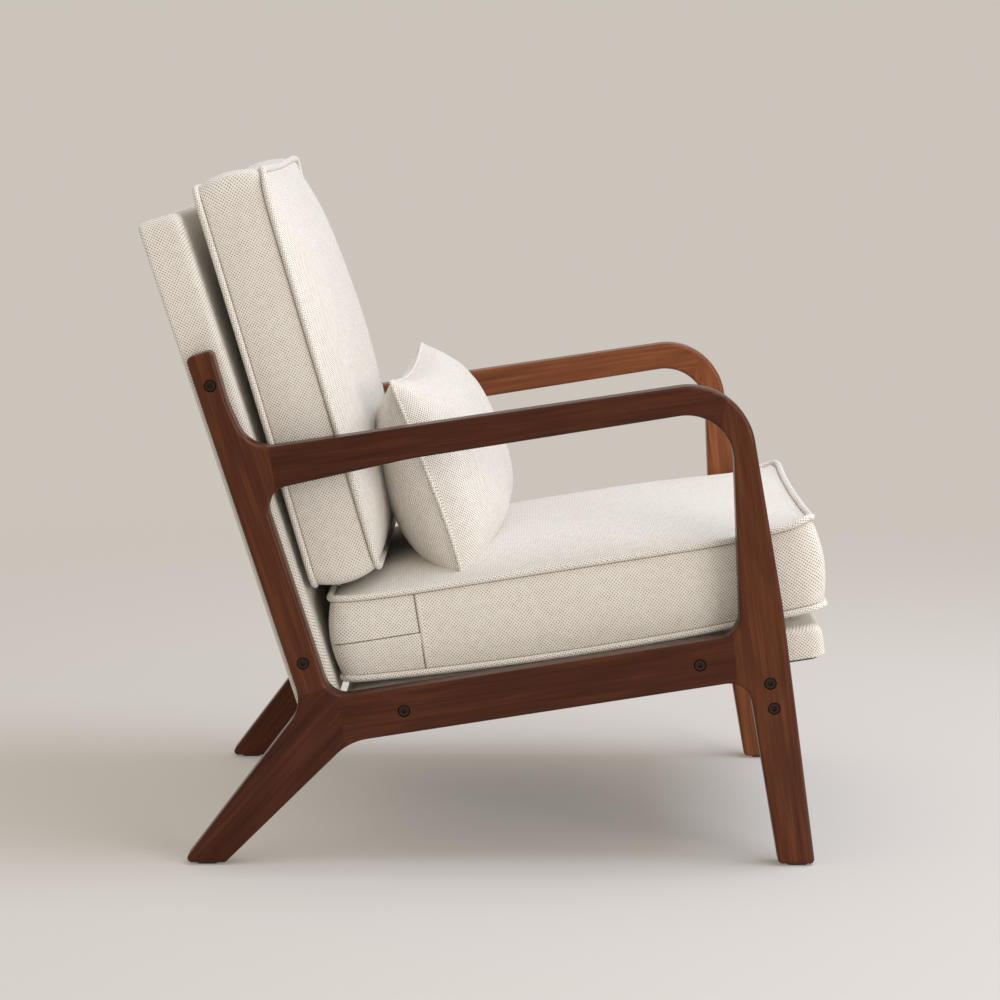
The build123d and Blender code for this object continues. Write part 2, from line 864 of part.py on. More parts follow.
def back_cushion():
    """The loose back cushion that stands on the seat cushion and leans on the back panel."""
    foot = ray(ray(upright_centre, 90 + back_lean, back_cushion_up), back_lean, back_cushion_rear)
    plane = lean_plane(foot, back_cushion_lean)

    def body(inset):
        return boxed(
            plane,
            cushion_half_width - inset,
            inset,
            back_cushion_height - inset,
            cushion_corner,
            cushion_draws,
            inset,
            back_cushion_thickness - inset,
            (side_bulge, back_end_bulge),
            (back_front_crown, back_rear_crown),
        )

    # The zip lies in the rear part of the bottom boxing, which slopes there.
    half = back_cushion_thickness / 2
    reach_share = 1 - back_zip_share
    drop = back_end_bulge * (1 - reach_share**2)
    slope = math.degrees(math.atan(2 * back_end_bulge * reach_share / half))
    zip_plane = plane * Plane(Location((0, -drop, half * back_zip_share), (slope, 0, 0)))
    chain, slot, slider = zip_parts(zip_plane, 0, 0, zip_half_length, -1)
    parts = {
        "back_cushion_cover": body(0) - body(fabric) - slot,
        "back_cushion_core": body(fabric + core_clearance),
        "back_cushion_zip": chain,
        "back_zip_slider": slider,
    }
    for name, up in (("rear", -welt_offset), ("front", back_cushion_thickness + welt_offset)):
        parts[f"back_cushion_{name}_welt"] = welt(
            plane, cushion_half_width, 0, back_cushion_height, cushion_corner, cushion_draws, up
        )
    return parts


def lumbar_pillow():
    """The knife-edged pillow that leans on the back cushion."""
    middle = ray(ray(upright_centre, 90 + back_lean, pillow_up), back_lean, pillow_forward)
    plane = lean_plane(middle, pillow_lean)
    half_height = pillow_height / 2
    draws = (pillow_draw, pillow_end_draw, pillow_draw)

    def body(inset):
        return boxed(
            plane,
            pillow_half_width - inset,
            inset - half_height,
            half_height - inset,
            pillow_corner,
            draws,
            inset - pillow_edge_thickness,
            pillow_edge_thickness - inset,
            (0, 0),
            (pillow_front_crown, pillow_rear_crown),
            pillow_rise_shares,
        )

    path = outline(plane, pillow_half_width, -half_height, half_height, pillow_corner, draws, 0)
    return {
        "lumbar_pillow_cover": body(0) - body(fabric),
        "lumbar_pillow_fill": body(fabric + core_clearance),
        "lumbar_pillow_edge_cord": cord(path.wire(), pillow_cord_radius),
    }


def fasteners():
    """Bolts, washers, inserts and nuts of both sides."""
    board, nuts = stretcher_parts()
    parts = {"front_stretcher": board, "stretcher_barrel_nuts": solids_of(nuts)}
    rows = (
        ("back_panel", panel_bolts, panel_bolt_length),
        ("seat_deck", deck_bolts, panel_bolt_length),
        ("stretcher", stretcher_bolts, stretcher_bolt_length),
    )
    washers = []
    for name, points, length in rows:
        parts[f"{name}_bolts"] = solids_of(b for point in points for b in both_sides(bolt(point, length)))
        washers += [w for point in points for w in both_sides(washer(point))]
    parts["bolt_washers"] = solids_of(washers)
    for name, points, length in rows[:2]:
        parts[f"{name}_inserts"] = solids_of(i for point in points for i in both_sides(insert(point)))
    return parts


def chair():
    """Every node of the chair by name, centred over its origin and standing on the floor."""
    nodes = {}
    for name, member in side_frame_members().items():
        nodes[f"{name}_right"], nodes[f"{name}_left"] = both_sides(member)
    for name, things in (("frame_dowels", frame_dowels()), ("foot_glides", glides())):
        group = solids_of(things)
        nodes[f"{name}_right"], nodes[f"{name}_left"] = both_sides(group)
    for group in (fasteners(), seat_deck(), back_panel(), seat_cushion(), back_cushion(), lumbar_pillow()):
        nodes.update(group)
    boxes = [node.bounding_box() for node in nodes.values()]
    rear = max(box.max.Y for box in boxes)
    front = min(box.min.Y for box in boxes)
    centre = (rear + front) / 2
    print("depth centre", round(centre, 3), "forward of the heel", round(-centre, 3))
    return {name: Pos(0, -centre, 0) * node for name, node in nodes.items()}


if __name__ == "__main__":
    os.makedirs("parts", exist_ok=True)
    for name, node in chair().items():
        export_step(node, f"parts/{name}.step")
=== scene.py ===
import math

import bmesh
import bpy
from mathutils import Matrix, Vector, noise
from mathutils.bvhtree import BVHTree


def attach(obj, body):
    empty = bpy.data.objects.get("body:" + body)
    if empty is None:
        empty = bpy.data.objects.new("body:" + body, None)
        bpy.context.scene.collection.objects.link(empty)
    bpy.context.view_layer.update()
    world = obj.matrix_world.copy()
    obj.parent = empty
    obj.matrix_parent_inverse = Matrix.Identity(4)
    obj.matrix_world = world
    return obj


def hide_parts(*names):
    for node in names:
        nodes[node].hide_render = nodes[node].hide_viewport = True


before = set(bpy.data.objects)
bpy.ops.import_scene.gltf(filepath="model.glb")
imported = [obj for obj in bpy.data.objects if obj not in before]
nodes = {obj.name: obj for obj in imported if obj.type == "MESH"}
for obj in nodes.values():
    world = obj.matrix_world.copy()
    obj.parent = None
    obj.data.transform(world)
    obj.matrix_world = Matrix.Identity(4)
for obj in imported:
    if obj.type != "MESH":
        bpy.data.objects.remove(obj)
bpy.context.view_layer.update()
mm = 0.001


def linear(hexText):
    # sRGB hex to linear, with full alpha
    values = []
    for start in (1, 3, 5):
        shade = int(hexText[start:start + 2], 16) / 255
        values.append(shade / 12.92 if shade <= 0.04045 else ((shade + 0.055) / 1.055) ** 2.4)
    return (*values, 1.0)


def addNode(tree, kind, inputs=None, settings=None):
    # one node, its settings, and its inputs as values or links
    made = tree.nodes.new(kind)
    for name, value in (settings or {}).items():
        setattr(made, name, value)
    for name, value in (inputs or {}).items():
        if isinstance(value, bpy.types.NodeSocket):
            tree.links.new(value, made.inputs[name])
        else:
            made.inputs[name].default_value = value
    return made


def newMaterial(name):
    material = bpy.data.materials.new(name)
    material.use_nodes = True
    tree = material.node_tree
    tree.nodes.clear()
    return material, tree


def seenAlong(tree, rayNames):
    # 1 for a ray of one of these kinds, else 0
    rays = addNode(tree, "ShaderNodeLightPath").outputs
    seen = 0.0
    for rayName in rayNames:
        seen = addNode(
            tree, "ShaderNodeMath", {0: seen, 1: rays[rayName]}, {"operation": "MAXIMUM"}
        ).outputs[0]
    return seen


def dress(nodeName, material):
    slots = nodes[nodeName].data.materials
    slots.clear()
    slots.append(material)


# rubberwood with a walnut stain under satin lacquer: the dye settles in the pores, so fine dark
# dashes run along the grain over soft warm bands, and the rounded edges catch a thin light line
stainedWood = {
    "darkGrain": "#3D1D10",
    "stain": "#4A2515",
    "lightGrain": "#5C311D",
    "toneRange": (0.66, 1.38),  # of bands and streaks together, from the dark to the light grain
    # a lighter board has taken less of the red stain, so its red, green and blue rise unevenly, and
    # the painted light on the left frame's boards rises the same way
    "tonePowers": (1.05, 1.22, 1.15),
    "fibres": {
        # mm across and along the grain, then fineness and waviness
        "band": (20.0, 190.0, 2.0, 0.7),
        "streak": (3.6, 120.0, 3.0, 0.35),
        # real pores are about 0.2 mm wide, drawn coarser so that they show
        "pore": (0.9, 12.0, 2.0, 0.0),
    },
    "poreRange": (0.3, 0.42),
    "poreShade": 0.86,
    "poreRelief": 0.15,
    "poreDepth": 0.12,  # mm
    "roughness": (0.29, 0.44),
    "ior": 1.5,
    "gloss": 0.09,
    "lacquer": 0.13,
    "lacquerRoughness": 0.12,
    "offsetSlant": 1.7,  # how far a board's place in the grain runs along as well as across
}
# each member is its own board, so its tone differs a little; the left frame's tones are raised with
# painted light, standing in for the light on their inner faces
boardTonesAndPaintedLight = {
    "armrest_right": 0.92,
    "front_post_right": 1.34,
    "side_rail_right": 0.94,
    "rear_leg_right": 0.9,
    "rear_upright_right": 1.2,
    "armrest_left": 2.6,
    "front_post_left": 2.85,
    "side_rail_left": 1.6,
    "rear_leg_left": 1.15,
    "rear_upright_left": 1.6,
    "front_stretcher": 1.2,
}


def walnutStain(member, grainTurn, offset):
    # grainTurn is the turn in degrees that lays the grain of the member along y
    look = stainedWood
    board = "".join(word.title() for word in member.split("_"))
    material, tree = newMaterial(f"walnutStainedRubberwood{board}")
    place = addNode(tree, "ShaderNodeTexCoord").outputs["Object"]
    turned = addNode(
        tree, "ShaderNodeMapping",
        {"Vector": place, "Location": (offset, offset * look["offsetSlant"], 0),
         "Rotation": [math.radians(angle) for angle in grainTurn]},
    ).outputs["Vector"]
    fibres = {}
    for part, (wide, long, fineness, waviness) in look["fibres"].items():
        scale = (1 / (wide * mm), 1 / (long * mm), 1 / (wide * mm))
        scaled = addNode(tree, "ShaderNodeMapping", {"Vector": turned, "Scale": scale})
        fibres[part] = addNode(
            tree, "ShaderNodeTexNoise",
            {"Vector": scaled.outputs["Vector"], "Scale": 1.0, "Detail": fineness,
             "Distortion": waviness},
        ).outputs["Fac"]
    mixed = addNode(tree, "ShaderNodeMath", {0: fibres["band"], 1: fibres["streak"]}).outputs[0]
    darkest, lightest = look["toneRange"]
    tone = addNode(
        tree, "ShaderNodeMapRange", {"Value": mixed, "From Min": darkest, "From Max": lightest}
    ).outputs[0]
    stain = addNode(tree, "ShaderNodeValToRGB", {"Fac": tone})
    stops = stain.color_ramp.elements
    stops.new(0.5)
    # the member's tone lifts the stain's colours; on the left frame most of the lift is painted
    # light
    toneAndLightLifts = [boardTonesAndPaintedLight[member] ** power for power in look["tonePowers"]]
    grains = ((0.0, "darkGrain"), (0.5, "stain"), (1.0, "lightGrain"))
    for stop, (at, grain) in zip(stops, grains):
        stop.position = at
        stop.color = [shade * lift for shade, lift in zip(linear(look[grain]), (*toneAndLightLifts, 1.0))]
    poreStart, poreEnd = look["poreRange"]
    pores = addNode(
        tree, "ShaderNodeMapRange",
        {"Value": fibres["pore"], "From Min": poreStart, "From Max": poreEnd,
         "To Min": look["poreShade"], "To Max": 1.0},
    ).outputs[0]
    colour = addNode(
        tree, "ShaderNodeMix", {0: 1.0, 6: stain.outputs["Color"], 7: pores},
        {"data_type": "RGBA", "blend_type": "MULTIPLY"},
    ).outputs[2]
    relief = addNode(
        tree, "ShaderNodeBump",
        {"Strength": look["poreRelief"], "Distance": look["poreDepth"] * mm,
         "Height": fibres["pore"]},
    ).outputs[0]
    smoothest, roughest = look["roughness"]
    rough = addNode(
        tree, "ShaderNodeMapRange",
        {"Value": fibres["streak"], "To Min": smoothest, "To Max": roughest},
    ).outputs[0]
    shader = addNode(
        tree, "ShaderNodeBsdfPrincipled",
        {"Base Color": colour, "Roughness": rough, "IOR": look["ior"], "Normal": relief,
         "Specular IOR Level": look["gloss"], "Coat Weight": look["lacquer"],
         "Coat Roughness": look["lacquerRoughness"]},
    )
    addNode(tree, "ShaderNodeOutputMaterial", {"Surface": shader.outputs[0]})
    return material


# cotton and polyester basket weave: thick pale yarns over a thin beige one, so the beige shows as
# small dots in slanting rows, matt and a little uneven where the yarn is thick or thin
basketWeave = {
    "yarn": "#F1EEE9",
    "yarnShade": "#EAE5DD",
    "dot": "#937E63",
    "cell": 2.1,  # mm between neighbouring yarns, drawn a little coarser so that the dots show
    "dotRange": (0.16, 0.75),  # height of the crossing at which a dot starts and is full
    "slub": 9.0,  # mm, how long a thick or thin stretch of yarn is
    "slubFineness": 2.0,
    "slubPull": 1.3,  # mm that a slub pushes the yarns aside
    "slubSwell": 0.3,
    "cloud": 45.0,  # mm, the size of a slightly darker patch
    "cloudFineness": 4.0,
    "relief": 0.6,
    "reliefDepth": 0.35,  # mm
    "roughness": 0.95,
    "ior": 1.45,
    "gloss": 0.15,
    "sheen": 0.45,
    "sheenRoughness": 0.4,
}


def wovenCover(name):
    look = basketWeave
    material, tree = newMaterial(name)
    place = addNode(tree, "ShaderNodeUVMap", settings={"uv_map": "clothGrain"}).outputs["UV"]
    slubs = addNode(
        tree, "ShaderNodeTexNoise",
        {"Vector": place, "Scale": 1 / (look["slub"] * mm), "Detail": look["slubFineness"]},
    )
    shift = addNode(
        tree, "ShaderNodeVectorMath", {0: slubs.outputs["Color"], 1: (0.5, 0.5, 0.5)},
        {"operation": "SUBTRACT"},
    ).outputs[0]
    pulled = addNode(
        tree, "ShaderNodeVectorMath", {0: shift, "Scale": look["slubPull"] * mm},
        {"operation": "SCALE"},
    ).outputs[0]
    at = addNode(tree, "ShaderNodeVectorMath", {0: place, 1: pulled}).outputs[0]
    turns = addNode(
        tree, "ShaderNodeVectorMath", {0: at, "Scale": math.pi / (look["cell"] * mm)},
        {"operation": "SCALE"},
    ).outputs[0]
    parts = addNode(tree, "ShaderNodeSeparateXYZ", {0: turns}).outputs
    warp, weft = [
        addNode(tree, "ShaderNodeMath", {0: parts[way]}, {"operation": "SINE"}).outputs[0]
        for way in (0, 1)
    ]
    crossings = addNode(
        tree, "ShaderNodeMath", {0: warp, 1: weft}, {"operation": "MULTIPLY"}
    ).outputs[0]
    uneven = addNode(
        tree, "ShaderNodeMapRange",
        {"Value": slubs.outputs["Fac"], "To Min": -look["slubSwell"], "To Max": look["slubSwell"]},
    ).outputs[0]
    raised = addNode(tree, "ShaderNodeMath", {0: crossings, 1: uneven}).outputs[0]
    dotStart, dotFull = look["dotRange"]
    dots = addNode(
        tree, "ShaderNodeMapRange", {"Value": raised, "From Min": dotStart, "From Max": dotFull},
        {"interpolation_type": "SMOOTHSTEP"},
    ).outputs[0]
    cloud = addNode(
        tree, "ShaderNodeTexNoise",
        {"Vector": place, "Scale": 1 / (look["cloud"] * mm), "Detail": look["cloudFineness"]},
    ).outputs["Fac"]
    yarn = addNode(
        tree, "ShaderNodeMix", {0: cloud, 6: linear(look["yarnShade"]), 7: linear(look["yarn"])},
        {"data_type": "RGBA"},
    ).outputs[2]
    colour = addNode(
        tree, "ShaderNodeMix", {0: dots, 6: yarn, 7: linear(look["dot"])}, {"data_type": "RGBA"}
    ).outputs[2]
    height = addNode(
        tree, "ShaderNodeMath", {0: 0.0, 1: raised}, {"operation": "SUBTRACT"}
    ).outputs[0]
    relief = addNode(
        tree, "ShaderNodeBump",
        {"Strength": look["relief"], "Distance": look["reliefDepth"] * mm, "Height": height},
    ).outputs[0]
    shader = addNode(
        tree, "ShaderNodeBsdfPrincipled",
        {"Base Color": colour, "Roughness": look["roughness"], "IOR": look["ior"],
         "Normal": relief, "Sheen Weight": look["sheen"],
         "Sheen Roughness": look["sheenRoughness"], "Specular IOR Level": look["gloss"]},
    )
    addNode(tree, "ShaderNodeOutputMaterial", {"Surface": shader.outputs[0]})
    return material


# what the fine uneven grain does to every plain finish
plainGrain = {
    "fineness": 3.0,
    "shades": (0.82, 1.12),
    "roughnessSpread": 0.06,
    "relief": 0.1,
    "reliefDepth": 0.1,  # mm
}


def plainFinish(name, look):
    # look is the colour, the roughness, the metallic value and the size of the grain in mm
    hexText, roughness, metallic, grain = look
    material, tree = newMaterial(name)
    place = addNode(tree, "ShaderNodeTexCoord").outputs["Object"]
    speck = addNode(
        tree, "ShaderNodeTexNoise",
        {"Vector": place, "Scale": 1 / (grain * mm), "Detail": plainGrain["fineness"]},
    ).outputs["Fac"]
    darkest, lightest = plainGrain["shades"]
    shade = addNode(
        tree, "ShaderNodeMapRange", {"Value": speck, "To Min": darkest, "To Max": lightest}
    ).outputs[0]
    colour = addNode(
        tree, "ShaderNodeMix", {0: 1.0, 6: linear(hexText), 7: shade},
        {"data_type": "RGBA", "blend_type": "MULTIPLY"},
    ).outputs[2]
    spread = plainGrain["roughnessSpread"]
    rough = addNode(
        tree, "ShaderNodeMapRange",
        {"Value": speck, "To Min": roughness - spread, "To Max": roughness + spread},
    ).outputs[0]
    relief = addNode(
        tree, "ShaderNodeBump",
        {"Strength": plainGrain["relief"], "Distance": plainGrain["reliefDepth"] * mm,
         "Height": speck},
    ).outputs[0]
    shader = addNode(
        tree, "ShaderNodeBsdfPrincipled",
        {"Base Color": colour, "Roughness": rough, "Metallic": metallic, "Normal": relief},
    )
    addNode(tree, "ShaderNodeOutputMaterial", {"Surface": shader.outputs[0]})
    return material


coverCloth = wovenCover("creamBasketWeaveCotton")
# bonded polyester thread pulled down into the seam, matt; its dark colour is painted shade of the
# groove it lies in
seamShadeThread = plainFinish("threadWithPaintedSeamShade", ("#857660", 0.8, 0.0, 2.0))
print("cloth and thread made")


# how every cover is cut and sewn, whatever its size
coverMaking = {
    "drawPower": 3,  # how fast a drawn-in side fades away from the outline
    "bulgePower": 9,  # how near to its side a bulge stays
    "earPower": 14,  # how near to its corner a raised corner stays
    "leastCorner": 1.0,  # mm
    "rollAngles": (22.5, 45.0, 67.5, 90.0),  # degrees round a rolled edge
    "leastRow": 0.1,  # mm between two rows of the edge band
    # unevenness of the filling: the size of its broad and fine ripples in mm, and the share of
    # the fine ones
    "broadRipple": 85.0,
    "fineRipple": 33.0,
    "fineShare": 0.5,
    "topShift": 40.0,  # so that the two panels differ
    "fineShift": 9.0,
    "rippleEase": 1.5,
    "edgeRipple": 60.0,
    "edgeShare": 0.6,
    "squareness": 5,  # how square a welt stands off its side
    "evening": 2,  # passes that even out a seam after the filling
    "weltSides": 12,
    "weltSlant": (0.94, 0.34),  # welts are cut on the slant, so the weave turns a little
    "flapSlant": (0.97, 0.24),
}
# the thread of the welted seams and of the other lines, dark with painted shade
threadForm = {
    "weltRadius": 0.65,  # mm
    "lineRadius": 0.7,
    "sides": 6,
    "linePoints": 24,
    "openOut": (1, 0.01, 0.02),  # an open line lies on a cushion's side, so it never runs this way
}
# how the covers behave as cloth while the filling puffs them
clothForm = {"quality": 6, "mass": 0.35}
# degrees that the seat rises towards its front, and that the back panel leans back
seatSlope, panelLean = 8.98, 17.85


def placed(piece):
    # matrix of a soft piece's own axes: "lean" has y up the back, "slope" has y forward along the
    # seat, and z goes out of the cushion
    upright = "lean" in piece
    turn = math.radians(piece["lean" if upright else "slope"])
    level, rise = math.cos(turn), math.sin(turn)
    if upright:
        axes = ((1, 0, 0), (0, rise, level), (0, -level, rise))
    else:
        axes = ((-1, 0, 0), (0, -level, rise), (0, rise, level))
    spin = Matrix(axes).transposed().to_4x4()
    return Matrix.Translation(Vector(piece["origin"]) * mm) @ spin


def clothObject(name, mesh, material):
    bmesh.ops.recalc_face_normals(mesh, faces=mesh.faces)
    made = bpy.data.meshes.new(name)
    mesh.to_mesh(made)
    mesh.free()
    made.polygons.foreach_set("use_smooth", [True] * len(made.polygons))
    thing = bpy.data.objects.new(name, made)
    bpy.context.scene.collection.objects.link(thing)
    thing.data.materials.append(material)
    return thing


def slanted(along, across, slant):
    # places on the cloth, turned by the slant that a strip is cut on
    return along * slant[0] - across * slant[1], along * slant[1] + across * slant[0]


def outlinePoint(piece, u, v, inset):
    # a place on the panel for u, v in -1..1, in mm, with rounded corners and drawn-in sides
    level = max(abs(u), abs(v))
    halfX, halfY = piece["halfWidth"] - inset, (piece["high"] - piece["low"]) / 2 - inset
    x, y = u * halfX, v * halfY
    radius = max(piece["corner"] - inset, coverMaking["leastCorner"]) * level
    overX = abs(x) - (halfX * level - radius)
    overY = abs(y) - (halfY * level - radius)
    if overX > 0 and overY > 0:
        reach = radius / math.hypot(overX, overY)
        x = math.copysign(halfX * level - radius + overX * reach, x)
        y = math.copysign(halfY * level - radius + overY * reach, y)
    lowDraw, sideDraw, highDraw = piece["draws"]
    power = coverMaking["drawPower"]
    x -= math.copysign(sideDraw * (1 - v * v) * abs(u) ** power, x)
    pull = highDraw if y > 0 else lowDraw
    y -= math.copysign(pull * (1 - u * u) * abs(v) ** power, y)
    return x, y + (piece["high"] + piece["low"]) / 2


def swell(piece, u, v, sag):
    # how far the panel rises over its seams, as a share of its crown
    across = max(0.0, 1 - abs(u) ** piece["crownPower"])
    # the filling sinks, so the fullest place is a little low
    v += sag * (1 - v * v)
    along = max(0.0, 1 - abs(v) ** piece["crownPower"])
    return (across * along) ** piece["crownEase"]


def ear(u, v):
    # 1 at the panel's corners, and soon 0 away from them
    return (abs(u) * abs(v)) ** coverMaking["earPower"]


def arcLength(places):
    # running length along a line of places, zero at its middle one
    walked = [0.0]
    for before, after in zip(places, places[1:]):
        walked.append(walked[-1] + (after - before).length)
    return [length - walked[len(places) // 2] for length in walked]


def edgeRows(piece):
    # rows of the edge band between the two panels: inset from the full outline, and height, in mm
    lowRoll, highRoll = piece.get("rolls", (0.0, 0.0))
    high = piece["thickness"]
    flat = high - lowRoll - highRoll
    angles = [math.radians(angle) for angle in coverMaking["rollAngles"]]
    rows = []
    if lowRoll:
        rows += [(lowRoll * (1 - math.sin(a)), lowRoll * (1 - math.cos(a))) for a in angles]
    steps = max(2, round(flat / piece["cell"]))
    for step in range(0 if lowRoll else 1, steps + (1 if highRoll else 0)):
        at = lowRoll + flat * step / steps
        if not rows or at > rows[-1][1] + coverMaking["leastRow"]:
            rows.append((0.0, at))
    if highRoll:
        rows += [
            (highRoll * (1 - math.cos(a)), high - highRoll * (1 - math.sin(a)))
            for a in angles[:-1]
        ]
    return rows


def softShell(name, piece, seam):
    # the closed cover of a boxed cushion or of tight upholstery. seam(u, v, isTop) moves a seam
    # out of its plane, in mm
    making = coverMaking
    rolls = piece.get("rolls", (0.0, 0.0))
    sags = piece.get("sags", (0.0, 0.0))
    high, cell, unevenness = piece["thickness"], piece["cell"], piece["unevenness"]
    countX = 2 * round(piece["halfWidth"] / cell)
    countY = 2 * round((piece["high"] - piece["low"]) / 2 / cell)
    mesh = bmesh.new()
    grain = mesh.loops.layers.uv.new("clothGrain")

    def panelPoint(i, j, isTop):
        u, v = 2 * i / countX - 1, 2 * j / countY - 1
        x, y = outlinePoint(piece, u, v, rolls[1 if isTop else 0])
        crown = piece["crowns"][0] if isTop else -piece["crowns"][1]
        inner = swell(piece, u, v, sags[0 if isTop else 1])
        z = (high if isTop else 0) + crown * inner + seam(u, v, isTop)
        broad = Vector((x, y, making["topShift"] * isTop)) / making["broadRipple"]
        fine = Vector((x, y, making["fineShift"])) / making["fineRipple"]
        ripple = noise.noise(broad) + making["fineShare"] * noise.noise(fine)
        z += unevenness * ripple * min(1.0, inner * making["rippleEase"])
        return x * mm, y * mm, z * mm

    def panel(isTop):
        grid = [
            [mesh.verts.new(panelPoint(i, j, isTop)) for j in range(countY + 1)]
            for i in range(countX + 1)
        ]
        across = [arcLength([column[j].co for column in grid]) for j in range(countY + 1)]
        along = [arcLength([vert.co for vert in column]) for column in grid]
        for i in range(countX):
            for j in range(countY):
                ring = [(i, j), (i + 1, j), (i + 1, j + 1), (i, j + 1)]
                if not isTop:
                    ring.reverse()
                face = mesh.faces.new([grid[a][b] for a, b in ring])
                for loop, (a, b) in zip(face.loops, ring):
                    loop[grain].uv = (across[b][a], along[a][b])
        return grid

    edge = [(i, 0) for i in range(countX)] + [(countX, j) for j in range(countY)]
    edge += [(i, countY) for i in range(countX, 0, -1)] + [(0, j) for j in range(countY, 0, -1)]
    topGrid, bottomGrid = panel(True), panel(False)
    top = [topGrid[i][j] for i, j in edge]
    bottom = [bottomGrid[i][j] for i, j in edge]
    count = len(edge)
    bands = [bottom]
    sideBulge, endBulge = piece["bulges"]
    for inset, z in edgeRows(piece):
        share = z / high
        reach = 4 * share * (1 - share)  # 0 at both seams and 1 halfway
        band = []
        for i, j in edge:
            u, v = 2 * i / countX - 1, 2 * j / countY - 1
            x, y = outlinePoint(piece, u, v, inset)
            x += math.copysign(abs(u) ** making["bulgePower"], u) * sideBulge * reach
            y += math.copysign(abs(v) ** making["bulgePower"], v) * endBulge * reach
            level = z + seam(u, v, False) * (1 - share) + seam(u, v, True) * share
            ripple = noise.noise(Vector((x, y, z)) / making["edgeRipple"])
            push = Vector((u, v)).normalized() * unevenness * making["edgeShare"] * ripple * reach
            band.append(mesh.verts.new(((x + push.x) * mm, (y + push.y) * mm, level * mm)))
        bands.append(band)
    bands.append(top)
    walked = [0.0]
    for index in range(count):
        walked.append(walked[-1] + (top[(index + 1) % count].co - top[index].co).length)
    climbed = [0.0]
    middle = countX // 2
    for lower, upper in zip(bands, bands[1:]):
        climbed.append(climbed[-1] + (upper[middle].co - lower[middle].co).length)
    for row, (lower, upper) in enumerate(zip(bands, bands[1:])):
        for index in range(count):
            after = (index + 1) % count
            face = mesh.faces.new([lower[index], lower[after], upper[after], upper[index]])
            for loop, (step, up) in zip(face.loops, ((0, 0), (1, 0), (1, 1), (0, 1))):
                loop[grain].uv = (walked[index + step], climbed[row + up])
    mesh.verts.index_update()
    topRim = [vert.index for vert in top]
    bottomRim = [vert.index for vert in bottom]
    return clothObject(name, mesh, coverCloth), topRim, bottomRim


def fillCover(cover, rims, fill):
    # puffs the cover with air pressure as cloth, its seams held, and keeps the puffed places
    held = cover.vertex_groups.new(name="seams")
    for rim in rims:
        held.add(rim, fill["seamHold"], "REPLACE")
    cloth = cover.modifiers.new("filling", "CLOTH")
    cloth.settings.quality = clothForm["quality"]
    cloth.settings.mass = clothForm["mass"]
    cloth.settings.tension_stiffness = fill["stretch"]
    cloth.settings.compression_stiffness = fill["stretch"]
    cloth.settings.shear_stiffness = fill["shear"]
    cloth.settings.bending_stiffness = fill["bend"]
    cloth.settings.use_pressure = True
    cloth.settings.uniform_pressure_force = fill["pressure"]
    cloth.settings.effector_weights.gravity = 0
    cloth.settings.vertex_group_mass = "seams"
    cloth.collision_settings.use_collision = False
    scene = bpy.context.scene
    cloth.point_cache.frame_start = 1
    cloth.point_cache.frame_end = fill["frames"]
    for number in range(1, fill["frames"] + 1):
        scene.frame_set(number)
    graph = bpy.context.evaluated_depsgraph_get()
    puffed = cover.evaluated_get(graph).data
    cap = fill["cap"] * mm
    moved = []
    for before, after in zip(cover.data.vertices, puffed.vertices):
        step = after.co - before.co
        if step.length > cap:
            step *= cap / step.length
        moved.append(before.co + step)
    cover.modifiers.remove(cloth)
    for vertex, at in zip(cover.data.vertices, moved):
        vertex.co = at
    scene.frame_set(1)
    cover.vertex_groups.clear()


def smoothed(cover):
    # one subdivision, applied
    extra = cover.modifiers.new("smooth", "SUBSURF")
    extra.levels = extra.render_levels = 1
    graph = bpy.context.evaluated_depsgraph_get()
    fine = bpy.data.meshes.new_from_object(cover.evaluated_get(graph))
    cover.modifiers.clear()
    cover.data = fine


def cordAlong(name, points, radius, material, sides, closed=True):
    # a round self-fabric welt or a thread along a seam, with the cloth running along and round it
    mesh = bmesh.new()
    grain = mesh.loops.layers.uv.new("clothGrain")
    count = len(points)
    rings, walked = [], [0.0]
    middle = sum(points, Vector()) / count
    for index, at in enumerate(points):
        before = points[index - 1] if closed or index else at
        after = points[(index + 1) % count] if closed or index < count - 1 else at
        ahead = (after - before).normalized()
        out = at - middle if closed else Vector(threadForm["openOut"])
        out = (out - ahead * out.dot(ahead)).normalized()
        up = ahead.cross(out)
        ring = []
        for side in range(sides):
            turn = 2 * math.pi * side / sides
            spoke = (out * math.cos(turn) + up * math.sin(turn)) * radius * mm
            ring.append(mesh.verts.new(at + spoke))
        rings.append(ring)
        walked.append(walked[-1] + (points[(index + 1) % count] - at).length)
    wrap = 2 * math.pi * radius * mm / sides
    for index in range(count if closed else count - 1):
        here, there = rings[index], rings[(index + 1) % count]
        for side in range(sides):
            far = (side + 1) % sides
            face = mesh.faces.new([here[side], there[side], there[far], here[far]])
            for loop, (on, over) in zip(face.loops, ((0, 0), (1, 0), (1, 1), (0, 1))):
                loop[grain].uv = slanted(
                    walked[index + on], (side + over) * wrap, coverMaking["weltSlant"]
                )
    if not closed:
        mesh.faces.new(rings[0][::-1])
        mesh.faces.new(rings[-1])
    return clothObject(name, mesh, material)


def seamPath(cover, rim, piece, out, up):
    # the seam's places after the filling, moved outward and up a little and evened out
    centre = (piece["high"] + piece["low"]) / 2 * mm
    power = coverMaking["squareness"]
    places = []
    for index in rim:
        at = cover.data.vertices[index].co.copy()
        flat = Vector((at.x, at.y - centre, 0)).normalized()
        # outward square to the nearest side
        square = Vector((flat.x ** power, flat.y ** power, 0)).normalized()
        places.append(at + square * out * mm + Vector((0, 0, up * mm)))
    count = len(places)
    for _ in range(coverMaking["evening"]):
        places = [
            (places[i - 1] + places[i] * 2 + places[(i + 1) % count]) / 4 for i in range(count)
        ]
    return places


